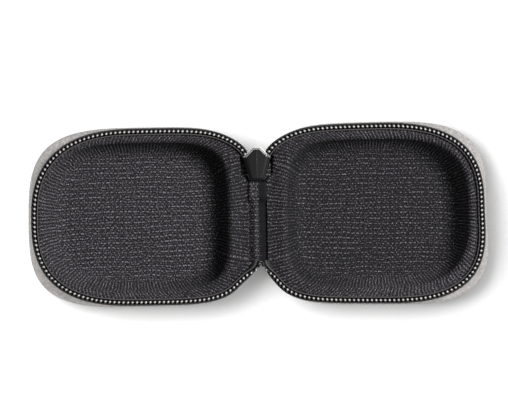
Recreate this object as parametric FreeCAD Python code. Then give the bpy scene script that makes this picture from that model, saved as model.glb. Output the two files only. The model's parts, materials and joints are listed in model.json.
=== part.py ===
import FreeCAD, Part

import math
import os

# Zippered hard case for wireless earbuds, lying open like a book. Millimetres, +Z up.
# The base is the half at +X, the lid its mirror image at -X, and the spine joins them along Y.
# The origin is on the surface that the case lies on, under the middle of the spine.

# Driving dimensions
RIM_OUTER = 40.4        # rim centre to the outermost zip coil, away from the spine
RIM_HINGE = 40.9        # the same towards the spine, before the fold line trims it
RIM_SIDE = 33.0         # half the width along Y
RIM_POWER = 2.75        # superellipse power of the rim's two outer corners
HINGE_POWER = 4.7       # and of the two tighter corners beside the spine
BODY_POWER = 3.4        # outer corners of the shell below the rim, which are squarer
SEAM_Z = 14.25          # height of the shell's sewn edge and of both fold lines
ZIP_HALF = 3.55         # how far the zip stands out of the shell, to the closing plane
SPINE_WIDTH = 2 * ZIP_HALF
CLOSING_Z = SEAM_Z + ZIP_HALF
FOLD_X = SPINE_WIDTH / 2
RIM_X = FOLD_X + RIM_OUTER
OUTLINE_POINTS = 72

# Shell: laminated outer fabric, moulded foam and knitted lining
SKIN = 1.1
LINING = 0.8
EDGE_INSET = 1.0        # the shell's edge lies this far inside the coil
BULGE_OUTER = 2.2       # how far the wall swells out of its edge
BULGE_SIDE = 1.5
BULGE_DEPTH = 4.75      # below the edge
BACK_ROUND = 10.0       # how far the rounded back pulls in
BACK_ROUND_HINGE = 8.0
HINGE_DRAFT = 0.35      # slope of the wall beside the spine
LINING_TOP = SEAM_Z + 1.2
FOAM_TOP = LINING_TOP - LINING
FOLD_GAP = 0.35         # from a fold line to the first solid of a half

# Moulded recess for the charging case
RECESS_X = RIM_X + 1.9
RECESS_OUTER = 33.65
RECESS_HINGE = 34.8
RECESS_SIDE = 27.6
RECESS_FLOOR = 4.6
RECESS_ROUND = 8.5      # wall's draft and floor fillet together
RECESS_POWER = 3.0
RECESS_HINGE_POWER = 4.5
RECESS_PROFILE = 2.3
FLANGE_SLOPE = (2.3, 7.4)   # the lining slopes down to the fold between these distances
FLANGE_EDGE = SEAM_Z - 0.05

# Zip: tape, coil and the cord inside the coil
TAPE = 0.45
TAPE_BOTTOM = SEAM_Z - 5.8
TAPE_TOP = SEAM_Z + 2.15
COIL = 2.1              # across the coil, from its outer side to the tape
COIL_BOTTOM = SEAM_Z + 0.6
COIL_TOP = CLOSING_Z - 0.1
COIL_ROUND = 0.55
CORD_INSET = 0.7
CORD_Z = COIL_BOTTOM + 1.05
STOP_LENGTH = 1.7
STOP_PROUD = 0.12

# Lockstitch that holds tape, shell and lining together
STITCH_INSET = 3.35
STITCH_R = 0.15
STITCH_PITCH = 3.0
STITCH_LENGTH = 2.3

# Spine: two strips over a foam filler and the joined end of the zip chain
SPINE_HALF = FOLD_X - 0.3
SPINE_END = 17.6
STRIP = 0.7
FILLER_HALF = 1.1
CHAIN_HALF_WIDTH = 2.6
CHAIN_START = 8.0
CHAIN_END = 17.9
BOTTOM_STOP_START = 6.3
STRIP_END = 12.4

# Slider, its plain plate up and its bridge down, seated at the end of the spine
SLIDER_TAIL = 12.7
SLIDER_WAIST = 17.0
SLIDER_SHOULDER = 21.4
SLIDER_NOSE = 25.5
SLIDER_TAIL_HALF = 3.4
SLIDER_SHOULDER_HALF = 5.4
SLIDER_PLATE = 1.0
SLIDER_HALF = 2.2
SLIDER_RIDGE = 0.35     # the plain plate falls this much from its centre line to its sides
SLIDER_FLANGE = 0.7
POST_HALF = 1.1
CLEARANCE = 0.4

# Bridge and pull
PIVOT_Y = 19.0
BRIDGE_HALF_WIDTH = 1.1
BRIDGE_HALF_LENGTH = 3.6
BRIDGE_WINDOW = 1.7
BRIDGE_WINDOW_HALF = 2.0
BRIDGE_CROWN = 1.0
PIVOT_Z = SEAM_Z - SLIDER_HALF - BRIDGE_WINDOW / 2
PULL_BAR_R = 0.62
PULL_HALF_WIDTH = 3.0
PULL_ARM_INNER = 1.5
PULL_WINDOW = 4.4
PULL_LENGTH = 20.0
PULL_TIP_R = 2.4
PULL_ANGLE = 30.0       # below level, the tip just above the surface the case lies on

FAR = 200.0             # larger than the case, for cutting half-spaces


def box(x, y, z):
    """A box from (low, high) along each axis."""
    corner = FreeCAD.Vector(x[0], y[0], z[0])
    return Part.makeBox(x[1] - x[0], y[1] - y[0], z[1] - z[0], corner)


def oval(centre_x, outer, hinge, side, outer_power, hinge_power, z):
    """A closed outline: a superellipse with its own reach and power on the spine's side."""
    points = []
    for step in range(OUTLINE_POINTS):
        angle = 2 * math.pi * step / OUTLINE_POINTS
        c, s = math.cos(angle), math.sin(angle)
        reach, power = (outer, outer_power) if c >= 0 else (hinge, hinge_power)
        radius = ((abs(c) / reach) ** power + (abs(s) / side) ** power) ** (-1 / power)
        points.append(FreeCAD.Vector(centre_x + radius * c, radius * s, z))
    curve = Part.BSplineCurve()
    curve.interpolate(Points=points, PeriodicFlag=True)
    return Part.Wire(curve.toShape())


def rim(inset, z):
    """The rim's outline, moved in from the outer side of the coil."""
    return oval(RIM_X, RIM_OUTER - inset, RIM_HINGE - inset, RIM_SIDE - inset,
                RIM_POWER, HINGE_POWER, z)


def rim_prism(inset, low, high):
    face = Part.Face(rim(inset, low))
    return face.extrude(FreeCAD.Vector(0, 0, high - low))


def rim_band(outer_inset, inner_inset, low, high):
    return rim_prism(outer_inset, low, high).cut(rim_prism(inner_inset, low, high))


def rim_point(angle, inset):
    """One point of the rim's outline, with no height."""
    c, s = math.cos(angle), math.sin(angle)
    reach, power = (RIM_OUTER, RIM_POWER) if c >= 0 else (RIM_HINGE, HINGE_POWER)
    radius = ((abs(c) / (reach - inset)) ** power
              + (abs(s) / (RIM_SIDE - inset)) ** power) ** (-1 / power)
    return FreeCAD.Vector(RIM_X + radius * c, radius * s, 0)


def shell_block(layer):
    """The whole shell's outside, moved in by a layer's thickness, up to the sewn edge."""
    depth = SEAM_Z - BULGE_DEPTH
    sections = []
    for fall in (0, 0.17, 0.34, 0.5, 0.64, 0.77, 0.87, 0.94, 0.98, 1.0):
        below = fall * SEAM_Z
        swell = math.sin(math.pi / 2 * min(below / BULGE_DEPTH, 1))
        rounded = max(below - BULGE_DEPTH, 0) / depth
        pull_in = 1 - math.sqrt(max(1 - rounded ** 2, 0))
        inset = EDGE_INSET + layer
        outer = RIM_OUTER - inset + BULGE_OUTER * swell - BACK_ROUND * pull_in
        side = RIM_SIDE - inset + BULGE_SIDE * swell - BACK_ROUND * pull_in
        hinge = RIM_HINGE - inset - HINGE_DRAFT * below - BACK_ROUND_HINGE * pull_in
        power = RIM_POWER + (BODY_POWER - RIM_POWER) * swell
        z = SEAM_Z - fall * (SEAM_Z - layer)
        sections.append(oval(RIM_X, outer, hinge, side, power, HINGE_POWER, z))
    return Part.makeLoft(sections, True, False)


def recess_block(layer):
    """The recess as a solid plug, grown by a layer's thickness, up past the rim."""
    floor = RECESS_FLOOR - layer
    height = LINING_TOP - floor
    sections = []
    for rise in (0, 0.015, 0.06, 0.14, 0.25, 0.42, 0.65, 1.0, 1.3):
        fall = 1 - min(rise, 1)
        pull_in = 1 - (1 - fall ** RECESS_PROFILE) ** (1 / RECESS_PROFILE)
        inset = RECESS_ROUND * pull_in - layer
        sections.append(oval(RECESS_X, RECESS_OUTER - inset, RECESS_HINGE - inset,
                             RECESS_SIDE - inset, RECESS_POWER, RECESS_HINGE_POWER,
                             floor + rise * height))
    return Part.makeLoft(sections, True, False)


def flange_cutter(lowered):
    """What lies above the sloping flange beside the spine."""
    edge = FLANGE_EDGE - lowered
    top = LINING_TOP - lowered
    corners = [
        FreeCAD.Vector(-FAR, -FAR, edge),
        FreeCAD.Vector(FOLD_X + FLANGE_SLOPE[0], -FAR, edge),
        FreeCAD.Vector(FOLD_X + FLANGE_SLOPE[1], -FAR, top),
        FreeCAD.Vector(FOLD_X + FLANGE_SLOPE[1], -FAR, FAR),
        FreeCAD.Vector(-FAR, -FAR, FAR),
    ]
    face = Part.Face(Part.makePolygon(corners + corners[:1]))
    return face.extrude(FreeCAD.Vector(0, 2 * FAR, 0))


def slider_clearance():
    """The room that the slider sweeps beside the base as the spine folds up."""
    reach = math.hypot(SLIDER_SHOULDER_HALF - FOLD_X, SLIDER_HALF) + CLEARANCE
    upright = box((-FAR, FOLD_X + SLIDER_HALF + CLEARANCE),
                  (SLIDER_TAIL - CLEARANCE, SLIDER_NOSE + CLEARANCE), (SEAM_Z, FAR))
    turn = Part.makeCylinder(reach, SLIDER_NOSE + CLEARANCE - SLIDER_WAIST,
                             FreeCAD.Vector(FOLD_X, SLIDER_WAIST, SEAM_Z),
                             FreeCAD.Vector(0, 1, 0))
    return upright.fuse(turn)


def beyond_fold():
    """Everything on the spine's side of the base's first solid."""
    return box((-FAR, FOLD_X + FOLD_GAP), (-FAR, FAR), (-FAR, FAR))


def beside_spine():
    """The straight side along the fold, where the rim has no zip."""
    return box((-FAR, FOLD_X + FLANGE_SLOPE[0]), (-SPINE_END, SPINE_END),
               (FLANGE_EDGE - LINING, FAR))


def trimmed(shape):
    return shape.cut(beyond_fold()).cut(slider_clearance())


def coil_block(inset):
    """The coil's row as a solid plug with rounded upper and lower edges."""
    sections = []
    for z, rounding in ((COIL_BOTTOM, 1), (COIL_BOTTOM + 0.3 * COIL_ROUND, 0.35),
                        (COIL_BOTTOM + COIL_ROUND, 0), (COIL_TOP - COIL_ROUND, 0),
                        (COIL_TOP - 0.3 * COIL_ROUND, 0.35), (COIL_TOP, 1)):
        moved = COIL_ROUND * rounding * (1 if inset == 0 else -1)
        sections.append(rim(inset + moved, z))
    return Part.makeLoft(sections, True, True)


def stop_region():
    """The last stretch of the chain, at the end of the spine away from the slider."""
    return box((-FAR, FOLD_X + FOLD_GAP + STOP_LENGTH), (-FAR, -SPINE_END), (-FAR, FAR))


def zip_tape():
    sewn = shell_block(SKIN).cut(shell_block(SKIN + TAPE))
    sewn = sewn.common(box((-FAR, FAR), (-FAR, FAR), (TAPE_BOTTOM, SEAM_Z)))
    standing = rim_band(EDGE_INSET + SKIN, EDGE_INSET + SKIN + TAPE, SEAM_Z, TAPE_TOP)
    return trimmed(sewn.fuse(standing).cut(beside_spine()).removeSplitter())


def zip_coil():
    row = coil_block(0).cut(coil_block(COIL))
    row = row.cut(rim_band(CORD_INSET, COIL - CORD_INSET,
                           CORD_Z, CORD_Z + COIL - 2 * CORD_INSET))
    return trimmed(row.cut(beside_spine())).cut(stop_region())


def zip_cord():
    cord = rim_band(CORD_INSET, COIL - CORD_INSET, CORD_Z, CORD_Z + COIL - 2 * CORD_INSET)
    return trimmed(cord.cut(beside_spine())).cut(stop_region())


def chain_stop():
    crimp = rim_band(-STOP_PROUD, COIL, COIL_BOTTOM - STOP_PROUD, COIL_TOP)
    return trimmed(crimp).common(stop_region())


def outer_skin():
    return trimmed(shell_block(0).cut(shell_block(SKIN)))


def half_interior():
    """Everything inside the skin, up to the top of the lining."""
    raised = rim_prism(EDGE_INSET + SKIN, SEAM_Z, LINING_TOP)
    return shell_block(SKIN).fuse(raised)


def foam_core(tape):
    above = box((-FAR, FAR), (-FAR, FAR), (FOAM_TOP, FAR))
    foam = half_interior().cut(above).cut(recess_block(LINING)).cut(flange_cutter(LINING))
    return trimmed(foam.cut(tape))


def lining(tape, foam):
    knit = half_interior().cut(recess_block(0)).cut(flange_cutter(0))
    knit = trimmed(knit.cut(tape).cut(foam))
    return largest(knit)


def largest(shape):
    """The one solid of a shape that a cut may have left crumbs beside."""
    return max(shape.Solids, key=lambda solid: solid.Volume)


def rim_stitching():
    """A row of short thread runs on the lining, from one end of the spine to the other."""
    walk = []
    steps = 1440
    for step in range(steps + 1):
        angle = -math.pi + 2 * math.pi * step / steps
        walk.append(rim_point(angle, STITCH_INSET))
    travelled = [0.0]
    for before, after in zip(walk, walk[1:]):
        travelled.append(travelled[-1] + before.distanceToPoint(after))
    runs = []
    next_start = 0.0
    for index, point in enumerate(walk):
        end_of_flange = FOLD_X + FLANGE_SLOPE[1] + STITCH_LENGTH
        if travelled[index] < next_start or point.x < end_of_flange:
            continue
        next_start = travelled[index] + STITCH_PITCH
        ahead = walk[min(index + 4, steps)] - point
        start = FreeCAD.Vector(point.x, point.y, LINING_TOP + STITCH_R)
        thread = Part.makeCylinder(STITCH_R, STITCH_LENGTH, start, ahead)
        runs.append(thread)
    return Part.makeCompound(runs)


def spine_inner_strip():
    return box((-SPINE_HALF, SPINE_HALF), (-SPINE_END, STRIP_END),
               (SEAM_Z + FILLER_HALF, SEAM_Z + FILLER_HALF + STRIP))


def spine_outer_strip():
    return box((-SPINE_HALF, SPINE_HALF), (-SPINE_END, STRIP_END),
               (SEAM_Z - FILLER_HALF - STRIP, SEAM_Z - FILLER_HALF))


def spine_filler():
    return box((-SPINE_HALF, SPINE_HALF), (-SPINE_END, BOTTOM_STOP_START),
               (SEAM_Z - FILLER_HALF, SEAM_Z + FILLER_HALF))


def chain_bottom_stop():
    return box((-CHAIN_HALF_WIDTH, CHAIN_HALF_WIDTH), (BOTTOM_STOP_START, CHAIN_START),
               (SEAM_Z - FILLER_HALF, SEAM_Z + FILLER_HALF))


def joined_chain():
    """The short stretch of zip that stays joined, from its stop into the slider."""
    chain = box((-CHAIN_HALF_WIDTH, CHAIN_HALF_WIDTH), (CHAIN_START, CHAIN_END),
                (SEAM_Z - FILLER_HALF, SEAM_Z + FILLER_HALF))
    nose_room = box((-CHAIN_HALF_WIDTH / 2, CHAIN_HALF_WIDTH / 2),
                    (CHAIN_END - 1, FAR), (-FAR, FAR))
    return chain.cut(nose_room)


def spine_stitching():
    """Thread runs along both edges of the inner strip."""
    runs = []
    height = SEAM_Z + FILLER_HALF + STRIP + STITCH_R
    count = int((STRIP_END + SPINE_END) / STITCH_PITCH)
    for side in (-1, 1):
        for index in range(count):
            start = FreeCAD.Vector(side * (SPINE_HALF - 0.5),
                                   -SPINE_END + 0.5 + index * STITCH_PITCH, height)
            runs.append(Part.makeCylinder(STITCH_R, STITCH_LENGTH, start,
                                          FreeCAD.Vector(0, 1, 0)))
    return Part.makeCompound(runs)


def slider_outline(shrink, z):
    """The slider's plate seen from above: a pointed nose, wide shoulders, narrow tail."""
    right = [
        (0, SLIDER_NOSE - shrink),
        (SLIDER_SHOULDER_HALF - shrink, SLIDER_SHOULDER),
        (SLIDER_TAIL_HALF - shrink, SLIDER_WAIST),
        (SLIDER_TAIL_HALF - shrink, SLIDER_TAIL + shrink),
    ]
    left = [(-x, y) for x, y in reversed(right[1:])]
    corners = [FreeCAD.Vector(x, y, z) for x, y in right + left]
    return Part.Face(Part.makePolygon(corners + corners[:1]))


def slider_body():
    """Two plates on a wedge-shaped post, edge flanges, and the bridge on the lower plate."""
    channel = SLIDER_HALF - SLIDER_PLATE
    whole = slider_outline(0, SEAM_Z - SLIDER_HALF)
    whole = whole.extrude(FreeCAD.Vector(0, 0, 2 * SLIDER_HALF))
    hollow = box((-FAR, FAR), (-FAR, FAR), (SEAM_Z - channel, SEAM_Z + channel))
    nose = slider_outline(SLIDER_FLANGE, SEAM_Z - channel)
    inside = nose.extrude(FreeCAD.Vector(0, 0, 2 * channel))
    rails = whole.common(hollow).cut(inside)
    rails = rails.common(box((-FAR, FAR), (-FAR, SLIDER_WAIST), (-FAR, FAR)))
    slot = box((-FAR, FAR), (-FAR, FAR), (SEAM_Z - 0.3, SEAM_Z + 0.3))
    rails = rails.cut(slot).cut(box((-SLIDER_TAIL_HALF + SLIDER_FLANGE,
                                     SLIDER_TAIL_HALF - SLIDER_FLANGE),
                                    (-FAR, FAR), (-FAR, FAR)))
    post = [
        FreeCAD.Vector(0, SLIDER_WAIST + 1.6, SEAM_Z - channel),
        FreeCAD.Vector(POST_HALF, SLIDER_SHOULDER, SEAM_Z - channel),
        FreeCAD.Vector(0, SLIDER_NOSE, SEAM_Z - channel),
        FreeCAD.Vector(-POST_HALF, SLIDER_SHOULDER, SEAM_Z - channel),
    ]
    post = Part.Face(Part.makePolygon(post + post[:1]))
    post = post.extrude(FreeCAD.Vector(0, 0, 2 * channel))
    body = whole.cut(hollow).fuse([rails, post, bridge()])
    return body.cut(plate_bevels()).removeSplitter()


def plate_bevels():
    """The two wedges that leave the upper plate with a ridge along its middle."""
    top = SEAM_Z + SLIDER_HALF
    wedges = []
    for side in (-1, 1):
        corners = [
            FreeCAD.Vector(0, -FAR, top),
            FreeCAD.Vector(side * SLIDER_SHOULDER_HALF, -FAR, top - SLIDER_RIDGE),
            FreeCAD.Vector(side * 2 * SLIDER_SHOULDER_HALF, -FAR, top - SLIDER_RIDGE),
            FreeCAD.Vector(side * 2 * SLIDER_SHOULDER_HALF, -FAR, top + 1),
            FreeCAD.Vector(0, -FAR, top + 1),
        ]
        face = Part.Face(Part.makePolygon(corners + corners[:1]))
        wedges.append(face.extrude(FreeCAD.Vector(0, 2 * FAR, 0)))
    return wedges[0].fuse(wedges[1])


def bridge():
    """The arch under the lower plate that the pull's bar hangs in."""
    top = SEAM_Z - SLIDER_HALF
    bottom = top - BRIDGE_WINDOW - BRIDGE_CROWN
    arch = box((-BRIDGE_HALF_WIDTH, BRIDGE_HALF_WIDTH),
               (PIVOT_Y - BRIDGE_HALF_LENGTH, PIVOT_Y + BRIDGE_HALF_LENGTH), (bottom, top))
    window = box((-FAR, FAR), (PIVOT_Y - BRIDGE_WINDOW_HALF, PIVOT_Y + BRIDGE_WINDOW_HALF),
                 (bottom + BRIDGE_CROWN, top))
    crown = [edge for edge in arch.Edges
             if edge.BoundBox.ZMax < bottom + 0.01 and edge.BoundBox.YLength < 0.01]
    return arch.makeFillet(BRIDGE_CROWN * 0.9, crown).cut(window)


def pull_tab():
    """A flat tab with a window for the bridge, turned down about its bar."""
    plate = box((-PULL_HALF_WIDTH, PULL_HALF_WIDTH),
                (PIVOT_Y - PULL_LENGTH, PIVOT_Y), (PIVOT_Z - PULL_BAR_R, PIVOT_Z + PULL_BAR_R))
    tips = [edge for edge in plate.Edges
            if edge.BoundBox.YMax < PIVOT_Y - PULL_LENGTH + 0.01 and edge.BoundBox.ZLength > 1]
    plate = plate.makeFillet(PULL_TIP_R, tips)
    window = box((-PULL_ARM_INNER, PULL_ARM_INNER),
                 (PIVOT_Y - PULL_WINDOW, PIVOT_Y + 1), (-FAR, FAR))
    bar = Part.makeCylinder(PULL_BAR_R, 2 * PULL_HALF_WIDTH,
                            FreeCAD.Vector(-PULL_HALF_WIDTH, PIVOT_Y, PIVOT_Z),
                            FreeCAD.Vector(1, 0, 0))
    tab = plate.cut(window).fuse(bar).removeSplitter()
    tab.rotate(FreeCAD.Vector(0, PIVOT_Y, PIVOT_Z), FreeCAD.Vector(1, 0, 0), PULL_ANGLE)
    return tab


def half_pieces():
    """Each sub-part of the base, by the last part of its name."""
    tape = zip_tape()
    foam = foam_core(tape)
    return {
        "outer_skin": outer_skin(),
        "foam_core": foam,
        "lining": lining(tape, foam),
        "zip_tape": tape,
        "zip_coil": zip_coil(),
        "zip_cord": zip_cord(),
        "chain_stop": chain_stop(),
        "rim_stitching": rim_stitching(),
    }


def spine_pieces():
    return {
        "spine_inner_strip": spine_inner_strip(),
        "spine_outer_strip": spine_outer_strip(),
        "spine_filler": spine_filler(),
        "spine_stitching": spine_stitching(),
        "joined_chain": joined_chain(),
        "chain_bottom_stop": chain_bottom_stop(),
        "slider_body": slider_body(),
        "pull_tab": pull_tab(),
    }


def main():
    os.makedirs("parts", exist_ok=True)
    pieces = spine_pieces()
    for name, shape in half_pieces().items():
        pieces["base_" + name] = shape
        pieces["lid_" + name] = shape.mirror(FreeCAD.Vector(0, 0, 0), FreeCAD.Vector(1, 0, 0))
    for name, shape in pieces.items():
        shape.exportStep("parts/" + name + ".step")
        print(name, "solids", len(shape.Solids), "valid", shape.isValid(),
              "volume", round(shape.Volume, 2))


main()
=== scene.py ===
import json
import math

import bpy
import numpy as np
from mathutils import Matrix, Vector

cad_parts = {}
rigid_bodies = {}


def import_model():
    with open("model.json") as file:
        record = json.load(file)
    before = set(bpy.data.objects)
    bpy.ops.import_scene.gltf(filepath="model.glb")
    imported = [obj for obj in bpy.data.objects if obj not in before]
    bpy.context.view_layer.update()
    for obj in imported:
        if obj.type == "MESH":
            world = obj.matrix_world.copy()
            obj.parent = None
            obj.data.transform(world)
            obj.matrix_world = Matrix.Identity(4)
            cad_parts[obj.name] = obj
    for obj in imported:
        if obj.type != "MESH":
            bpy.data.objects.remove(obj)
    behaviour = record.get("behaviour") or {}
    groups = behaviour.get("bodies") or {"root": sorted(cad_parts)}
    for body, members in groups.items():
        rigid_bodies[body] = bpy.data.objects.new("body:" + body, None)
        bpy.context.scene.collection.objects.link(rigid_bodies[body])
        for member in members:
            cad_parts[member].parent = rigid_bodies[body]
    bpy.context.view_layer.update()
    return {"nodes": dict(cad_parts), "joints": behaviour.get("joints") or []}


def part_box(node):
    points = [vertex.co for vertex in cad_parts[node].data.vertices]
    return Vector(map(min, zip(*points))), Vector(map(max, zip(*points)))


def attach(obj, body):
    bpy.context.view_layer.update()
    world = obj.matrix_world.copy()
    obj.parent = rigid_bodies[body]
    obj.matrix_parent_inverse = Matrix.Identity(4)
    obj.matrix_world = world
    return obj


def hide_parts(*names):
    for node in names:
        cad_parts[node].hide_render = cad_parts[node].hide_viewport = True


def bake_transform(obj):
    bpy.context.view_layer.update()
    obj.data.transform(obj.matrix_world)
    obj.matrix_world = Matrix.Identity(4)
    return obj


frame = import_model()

# Zippered hard case for wireless earbuds, lying open like a book.
# Shapes are worked out in millimetres on the base, the half at +X, and mirrored for the lid.

MM = 0.001
ACROSS, ALONG, UP = np.eye(3)


def joint_place(name):
    """Where a joint stands in the open case."""
    [joint] = [joint for joint in frame["joints"] if joint["name"] == name]
    return [place / MM for place in joint["pos_m"]]


def corners_of(node):
    """The low and the high corner of a CAD node's box."""
    return [[place / MM for place in corner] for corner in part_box(node)]


# From the frame
FOLD_X, _, SEAM_Z = joint_place("spine_fold")
_, PIVOT_Y, PIVOT_Z = joint_place("pull_pivot")
ZIP_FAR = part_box("base_zip_coil")[1] / MM
RIM_OUTER = (ZIP_FAR.x - FOLD_X) / 2
RIM_SIDE = ZIP_FAR.y
RIM_X = FOLD_X + RIM_OUTER
(_, SPINE_LOW, _), (_, SPINE_HIGH, _) = corners_of("spine_inner_strip")
(_, SLIDER_TAIL, _), (SLIDER_SHOULDER_HALF, SLIDER_NOSE, SLIDER_TOP) = corners_of("slider_body")

# Slider and pull
SLIDER_TAIL_HALF = 2.8
SLIDER_POINT = 4.1      # length of its pointed nose
NOSE_FLAT_HALF = 1.4    # half the width of the nose's flat front
CHANNEL_HALF = 1.25     # from the seam to the slider's plates, where its rails and post stand
RAIL_GAP_HALF = 0.35    # from the seam to the rails' free edges
RAIL_X = 2.5            # from the slider's middle to the middle of a rail
RAIL_HALF = 0.28        # half a rail's width
BRIDGE_REACH = 3.1      # from the pull's pivot to either foot of the bridge
BRIDGE_DROP = 2.55      # height of the bridge's arch
SMALLEST_ROUND = 0.12   # of a plate's corners

# Rim: a superellipse with its own reach and power on the spine's side
RIM_HINGE = 40.9
RIM_POWER = 2.75
HINGE_POWER = 4.7

# Shell
SKIN = 1.1
LINING = 0.8
TAPE = 0.45
EDGE_INSET = 1.0
BODY_POWER = 3.5
BULGE_OUTER = 2.2
BULGE_SIDE = 1.5
BULGE_DEPTH = 4.75
BACK_ROUND = 10.0
BACK_ROUND_HINGE = 8.0
HINGE_DRAFT = 0.35
HINGE_DROP = 1.1        # how far the skin's edge sits lower beside the spine
STRIP_SUNK = 0.75       # from the seam down to the inner strip's valley
STRIP_REACH = 4.2       # from the middle of the spine to the sewn edges of its strips

# Recess
RECESS_X = RIM_X + 1.9
RECESS_OUTER = 32.9
RECESS_HINGE = 34.8
RECESS_SIDE = 27.6
RECESS_FLOOR = 4.6
RECESS_ROUND = 8.5
RECESS_POWER = 3.0
RECESS_HINGE_POWER = 4.5
RECESS_PROFILE = 2.3
LINING_TOP = SEAM_Z + 1.2
LIP_ROUND = 2.2
LIP_SHARE = 0.92        # of the flange, the most that the lip's rounding takes
LINING_TUCK = 0.12      # how far out past the flange the knit's tucked edge stands
FLANGE_LOW_Z = SEAM_Z + 0.1
FLANGE_RAMP = (FOLD_X + 1.2, FOLD_X + 7.4)

# Zip
COIL_PITCH = 1.66
COIL_HALF_WIDTH = 0.42
COIL_HALF_HEIGHT = 1.0
COIL_CENTRE = 0.78      # from the tape to the middle of the coil
COIL_MIDDLE = 2.1       # from the sewn edge up to the middle of the coil
FILAMENT = 0.27
TAPE_TOP = 2.15
TAPE_BOTTOM = -5.8
ROW_TOP_Y = 19.0        # where the row of coils runs into the slider
ROW_LOW_Y = -16.8       # and where it ends beside the spine
ROW_TURN = 6.5          # length over which the row turns from standing to lying flat
ROW_DIVE = 3.2          # the same where it runs into the slider
STOP_START = 1.75       # from the row's low end back to its stop
STOP_LENGTH = 1.7
THREAD_RADIUS = 0.14
STITCH = 2.2            # length of a stitch on the face
STITCH_PITCH = 3.0

# Beside the slider and the fold
LINING_PAST_FOLD = 1.0  # how far the lining's edge reaches past its fold
LIP_SPREAD = 0.1        # how far the lining's lip follows the rim where it stands out
SLIDER_PULL = 2.2       # how far the rim is drawn in beside the slider
SKIN_DRAWN = 0.3        # how much of that pull the shell's edge follows
PULL_ENDS_HIGH = (21.5, 31.0)           # where that pull fades out at the upper end
PULL_ENDS_LOW = -26.0                   # and at the lower one
PULL_SIDE = (-36.0, -26.0)              # and away from the spine, from the rim's middle
SPLAY_HEIGHTS = (1.0, SEAM_Z - 3.0)     # over which a half widens to its splayed rim
SPLAY_REACHES = (14.0, 30.0)            # and from its middle outward
BEND_REACH = 1.0                        # from the fold to either end of a bend
SHELL_CLEARANCE = 1.3   # from the slider's sweep to the shell
LINING_CLEARANCE = 0.1  # and to the lining


def smooth(low, high, value):
    """0 below low, 1 above high, and a smooth step between."""
    share = np.clip((value - low) / (high - low), 0.0, 1.0)
    return share * share * (3 - 2 * share)


def window(start, full, ebb, end, value):
    """1 from full to ebb, 0 before start and after end, and smooth steps between."""
    return smooth(start, full, value) * (1 - smooth(ebb, end, value))


def signed_power(value, power):
    return np.sign(value) * np.abs(value) ** power


def unit(vectors):
    return vectors / np.linalg.norm(vectors, axis=-1, keepdims=True)


def full_turn(count):
    """Angles evenly all the way round."""
    return np.linspace(0, 2 * math.pi, count, endpoint=False)


def stacked(*parts):
    """Points from their coordinates, stretched to one shape."""
    return np.stack(np.broadcast_arrays(*parts), -1)


def oval(angle, centre_x, outer, hinge, side, outer_power, hinge_power, z):
    """Points of a superellipse with its own reach and power on the spine's side."""
    c, s = np.cos(angle), np.sin(angle)
    reach = np.where(c >= 0, outer, hinge)
    power = np.where(c >= 0, outer_power, hinge_power)
    radius = ((np.abs(c) / reach) ** power + (np.abs(s) / side) ** power) ** (-1 / power)
    return stacked(centre_x + radius * c, radius * s, z)


def rim(angle, inset, z):
    return oval(angle, RIM_X, RIM_OUTER - inset, RIM_HINGE - inset, RIM_SIDE - inset,
                RIM_POWER, HINGE_POWER, z)


def shell(angle, below, layer):
    """The shell's outside at a depth below its sewn edge, moved in by a layer's thickness."""
    swell = math.sin(math.pi / 2 * min(below / BULGE_DEPTH, 1))
    rounded = max(below - BULGE_DEPTH, 0) / (SEAM_Z - BULGE_DEPTH)
    pull_in = 1 - math.sqrt(max(1 - rounded ** 2, 0))
    inset = EDGE_INSET + layer
    outer = RIM_OUTER - inset + BULGE_OUTER * swell - BACK_ROUND * pull_in
    side = RIM_SIDE - inset + BULGE_SIDE * swell - BACK_ROUND * pull_in
    hinge = RIM_HINGE - inset - HINGE_DRAFT * below - BACK_ROUND_HINGE * pull_in
    power = RIM_POWER + (BODY_POWER - RIM_POWER) * swell
    z = SEAM_Z - below * (SEAM_Z - layer) / SEAM_Z
    return oval(angle, RIM_X, outer, hinge, side, power, HINGE_POWER, z)


def recess(angle, rise, layer):
    """The recess's wall at a share of its height, grown by a layer's thickness."""
    fall = 1 - rise
    inset = RECESS_ROUND * (1 - (1 - fall ** RECESS_PROFILE) ** (1 / RECESS_PROFILE)) - layer
    floor = RECESS_FLOOR - layer
    return oval(angle, RECESS_X, RECESS_OUTER - inset, RECESS_HINGE - inset,
                RECESS_SIDE - inset, RECESS_POWER, RECESS_HINGE_POWER,
                floor + rise * (LINING_TOP - floor))


def beside_spine(points):
    """1 along the straight side where the spine's strips are sewn on, 0 elsewhere."""
    x, y = points[..., 0], points[..., 1]
    return window(SPINE_LOW - 1.5, SPINE_LOW + 0.5, ROW_TOP_Y, ROW_TOP_Y + 2.5, y) * (x < RIM_X)


def splayed(points, half, drawn=1.0):
    """Moves a half's upper part: out round its own directions, and in at both ends of the spine."""
    across, along = points[..., 0] - RIM_X, points[..., 1]
    turned = np.degrees(np.arctan2(along / RIM_SIDE, across / RIM_OUTER))
    push = 0
    for direction, width, amount in half.splay:
        away = (turned - direction + 180) % 360 - 180
        push = push + amount * np.exp(-(away / width) ** 2)
    push = push * smooth(*SPLAY_HEIGHTS, points[..., 2])
    push = push * smooth(*SPLAY_REACHES, np.hypot(across, along))
    high = window(ROW_TOP_Y - 2, ROW_TOP_Y + 1, *PULL_ENDS_HIGH, along)
    low = window(PULL_ENDS_LOW, ROW_LOW_Y - 0.5, ROW_LOW_Y, ROW_LOW_Y + 4, along)
    pull = (SLIDER_PULL * high + half.row_reach * low) * (1 - smooth(*PULL_SIDE, across))
    moved = points.copy()
    moved[..., :2] += unit(points[..., :2] - (RIM_X, 0) + 1e-9) * push[..., None]
    moved[..., 0] -= drawn * pull * smooth(SEAM_Z - 5.0, SEAM_Z - 1.5, points[..., 2])
    return moved


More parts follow.
